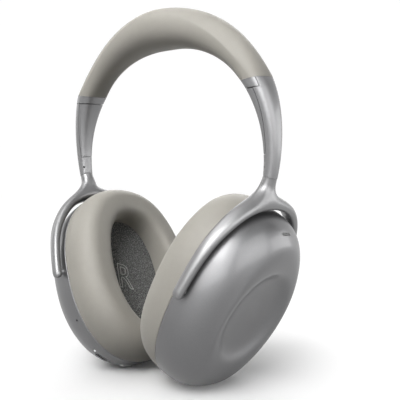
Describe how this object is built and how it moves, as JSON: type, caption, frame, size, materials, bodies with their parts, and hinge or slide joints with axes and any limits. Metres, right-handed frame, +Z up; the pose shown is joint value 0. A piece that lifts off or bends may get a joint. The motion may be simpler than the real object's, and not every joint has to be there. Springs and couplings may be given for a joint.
{
  "type": "over-ear headphones",
  "caption": "Closed over-ear headphones with a padded tubular headband, sliding metal arms, swivelling forks and tilting domed ear cups with soft oval cushions.",
  "frame": {"origin": "on the floor, midway between the ear cups and midway from front to rear, under the headband", "axes": "+Z up along the wearer's head, +X to the wearer's left, the wearer faces -Y"},
  "size_m": [0.1444, 0.0874, 0.1928],
  "materials": {
    "leatherette": "taupe leatherette, fine grain, satin",
    "liner_fabric": "dark grey speckled mesh cloth",
    "silver_metal": "silver grey, satin with a clear coat",
    "steel": "plain",
    "black_plastic": "moulded, matt",
    "grey_plastic": "moulded, matt",
    "board": "green solder mask",
    "battery_foil": "foil pouch",
    "light_lens": "white lens"
  },
  "bodies": {
    "headband": {"headband_pad": "leatherette", "headband_spring": "steel", "left_collar": "silver_metal", "right_collar": "silver_metal", "left_slider_guide": "black_plastic", "right_slider_guide": "black_plastic"},
    "left_arm": {"left_arm_rail": "silver_metal", "left_arm_cover": "silver_metal", "left_slider_tongue": "steel", "left_swivel_post": "steel", "left_arm_screw": "steel"},
    "left_fork": {"left_yoke": "silver_metal", "left_front_pivot_pin": "steel", "left_rear_pivot_pin": "steel"},
    "left_cup": {"left_baffle": "black_plastic", "left_battery": "battery_foil", "left_circuit_board": "board", "left_cup_shell": "silver_metal", "left_cushion_ring": "black_plastic", "left_driver_basket": "grey_plastic", "left_driver_diaphragm": "black_plastic", "left_driver_magnet": "steel", "left_ear_cushion": "leatherette", "left_front_pivot_bush": "black_plastic", "left_liner": "liner_fabric", "left_lower_board_screw": "steel", "left_mic_insert": "black_plastic", "left_rear_pivot_bush": "black_plastic", "left_upper_board_screw": "steel"},
    "right_arm": {"right_arm_rail": "silver_metal", "right_arm_cover": "silver_metal", "right_slider_tongue": "steel", "right_swivel_post": "steel", "right_arm_screw": "steel"},
    "right_fork": {"right_yoke": "silver_metal", "right_front_pivot_pin": "steel", "right_rear_pivot_pin": "steel"},
    "right_cup": {"right_baffle": "black_plastic", "right_charge_socket": "steel", "right_circuit_board": "board", "right_cup_shell": "silver_metal", "right_cushion_ring": "black_plastic", "right_driver_basket": "grey_plastic", "right_driver_diaphragm": "black_plastic", "right_driver_magnet": "steel", "right_ear_cushion": "leatherette", "right_front_pivot_bush": "black_plastic", "right_liner": "liner_fabric", "right_lower_board_screw": "steel", "right_mic_insert": "black_plastic", "right_rear_pivot_bush": "black_plastic", "right_status_light": "light_lens", "right_upper_board_screw": "steel", "right_voice_mic": "black_plastic"},
    "left_mode_button": {"left_mode_button": "silver_metal"},
    "right_power_button": {"right_power_button": "silver_metal"}
  },
  "joints": [
    {"name": "left_arm_slide", "type": "slide", "parent": "headband", "child": "left_arm", "axis": [0.5097, 0, -0.8603], "range_m": [0, 0.02]},
    {"name": "left_fork_swivel", "type": "hinge", "parent": "left_arm", "child": "left_fork", "pos_m": [0.04741, 0, 0.05542], "axis": [-0.339, 0, -0.9408], "range_deg": [-10, 90]},
    {"name": "left_cup_tilt", "type": "hinge", "parent": "left_fork", "child": "left_cup", "pos_m": [0.04341, 0, 0.05542], "axis": [0, -1, 0], "range_deg": [0, 20]},
    {"name": "right_arm_slide", "type": "slide", "parent": "headband", "child": "right_arm", "axis": [-0.5097, 0, -0.8603], "range_m": [0, 0.02]},
    {"name": "right_fork_swivel", "type": "hinge", "parent": "right_arm", "child": "right_fork", "pos_m": [-0.04741, 0, 0.05542], "axis": [-0.339, 0, 0.9408], "range_deg": [-10, 90]},
    {"name": "right_cup_tilt", "type": "hinge", "parent": "right_fork", "child": "right_cup", "pos_m": [-0.04341, 0, 0.05542], "axis": [0, 1, 0], "range_deg": [0, 20]},
    {"name": "left_mode_button_press", "type": "slide", "parent": "left_cup", "child": "left_mode_button", "axis": [0.202, -0.4784, 0.8546], "range_m": [0, 0.0005], "stiffness_N_per_m": 400, "springref_m": -0.0004},
    {"name": "right_power_button_press", "type": "slide", "parent": "right_cup", "child": "right_power_button", "axis": [-0.234, 0.2539, 0.9385], "range_m": [0, 0.0005], "stiffness_N_per_m": 400, "springref_m": -0.0004}
  ]
}
